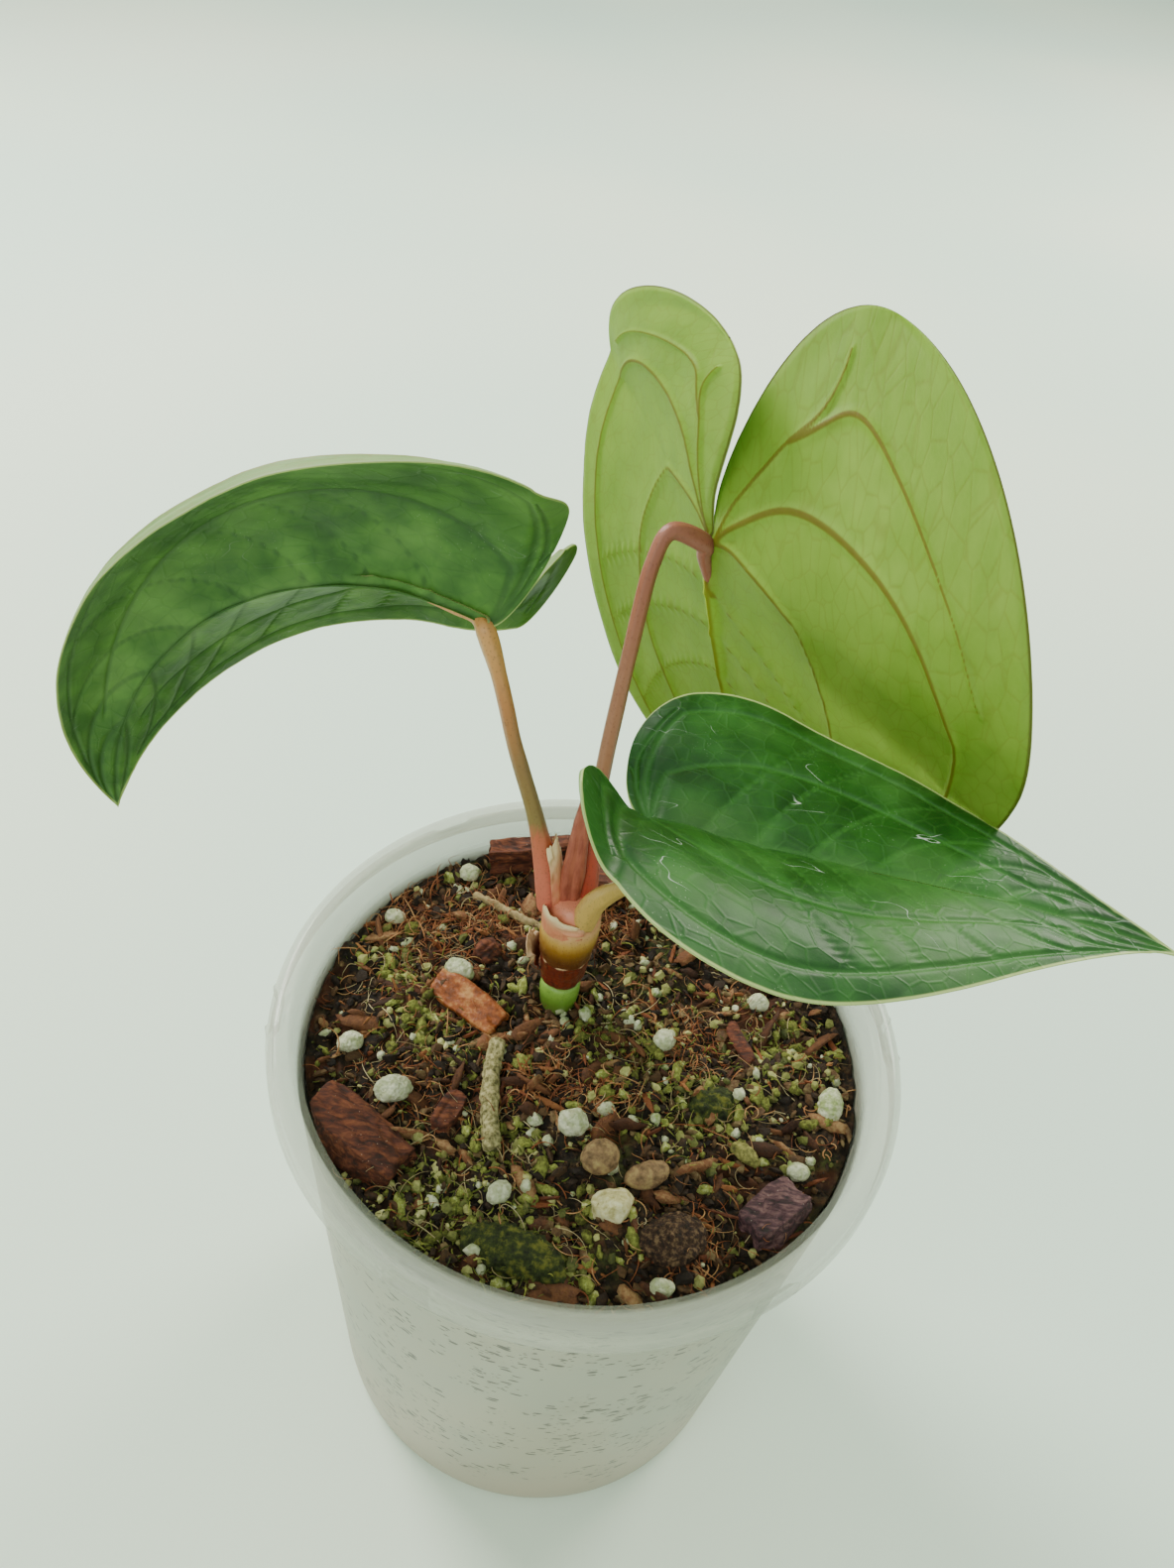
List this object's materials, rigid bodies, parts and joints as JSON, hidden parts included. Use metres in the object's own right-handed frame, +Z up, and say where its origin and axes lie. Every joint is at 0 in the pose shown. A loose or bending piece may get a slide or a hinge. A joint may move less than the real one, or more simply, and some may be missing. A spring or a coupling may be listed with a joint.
{
  "type": "potted anthurium",
  "caption": "Young potted anthurium with heart-shaped leaves on arching petioles, growing from one short stem in a clear round grow tub of mossy bark mix.",
  "frame": {"origin": "centre of the tub's flat underside", "axes": "+Z up along the tub's axis; -Y towards the side from which the front leaf is seen, +X towards the tip of the front leaf"},
  "size_m": [0.1616, 0.1327, 0.244],
  "materials": {
    "bark": "red-brown split conifer bark, matt",
    "clay_pellet": "fired clay pellet, rough",
    "coir": "dark coir fibre, matt",
    "cream_stone": "angular cream stone, matt",
    "crown_sheath": "olive-yellow sheathing petiole bases, satin",
    "dry_litter": "dry dead leaf, stalk and root fibre, matt",
    "green_stem": "fresh green stem skin, satin",
    "growing_mix": "dark moist bark, coir and moss mix, matt",
    "leaf_backlit": "yellow-green underside with reddish-brown veins, matt",
    "leaf_dark_green": "dark green blade, semi-gloss",
    "leaf_mid_green": "mid-green blade, satin, quilted between the veins",
    "moss": "dense green moss, matt",
    "papery_bract": "dry red-brown papery bract, thin and slightly glossy",
    "perlite": "porous white perlite with green algae, matt",
    "petiole": "smooth petiole skin, olive to reddish brown, satin",
    "root": "pale fleshy root, matt",
    "tub_plastic": "thin milky translucent polypropylene, satin"
  },
  "bodies": {
    "root": {"bark_chip_purple": "bark", "bark_chip_right": "bark", "bark_chip_small": "bark", "bark_slab_back": "bark", "bark_slab_behind_stem": "bark", "bark_slab_left": "bark", "clay_pellet_long": "clay_pellet", "clay_pellet_round": "clay_pellet", "coir_chunk": "coir", "cream_stone": "cream_stone", "crown_sheath": "crown_sheath", "dead_leaf": "dry_litter", "dry_root": "dry_litter", "dry_stalk": "dry_litter", "growing_mix": "growing_mix", "leaf_back": "leaf_backlit", "leaf_front": "leaf_dark_green", "leaf_left": "leaf_mid_green", "moss_clump_front": "moss", "moss_clump_right": "moss", "nut_bark_chip": "bark", "olive_bark_bit": "bark", "papery_ring": "papery_bract", "perlite_back_left": "perlite", "perlite_back_right": "perlite", "perlite_cluster": "perlite", "perlite_front": "perlite", "perlite_green_front": "perlite", "perlite_green_left": "perlite", "perlite_grey": "perlite", "perlite_left": "perlite", "perlite_middle": "perlite", "perlite_oval": "perlite", "perlite_right": "perlite", "perlite_white": "perlite", "petiole_back": "petiole", "petiole_front": "petiole", "petiole_left": "petiole", "pointed_bract": "papery_bract", "root_back": "root", "root_front": "root", "root_left": "root", "root_right": "root", "stem": "green_stem", "tub": "tub_plastic"}
  },
  "joints": []
}
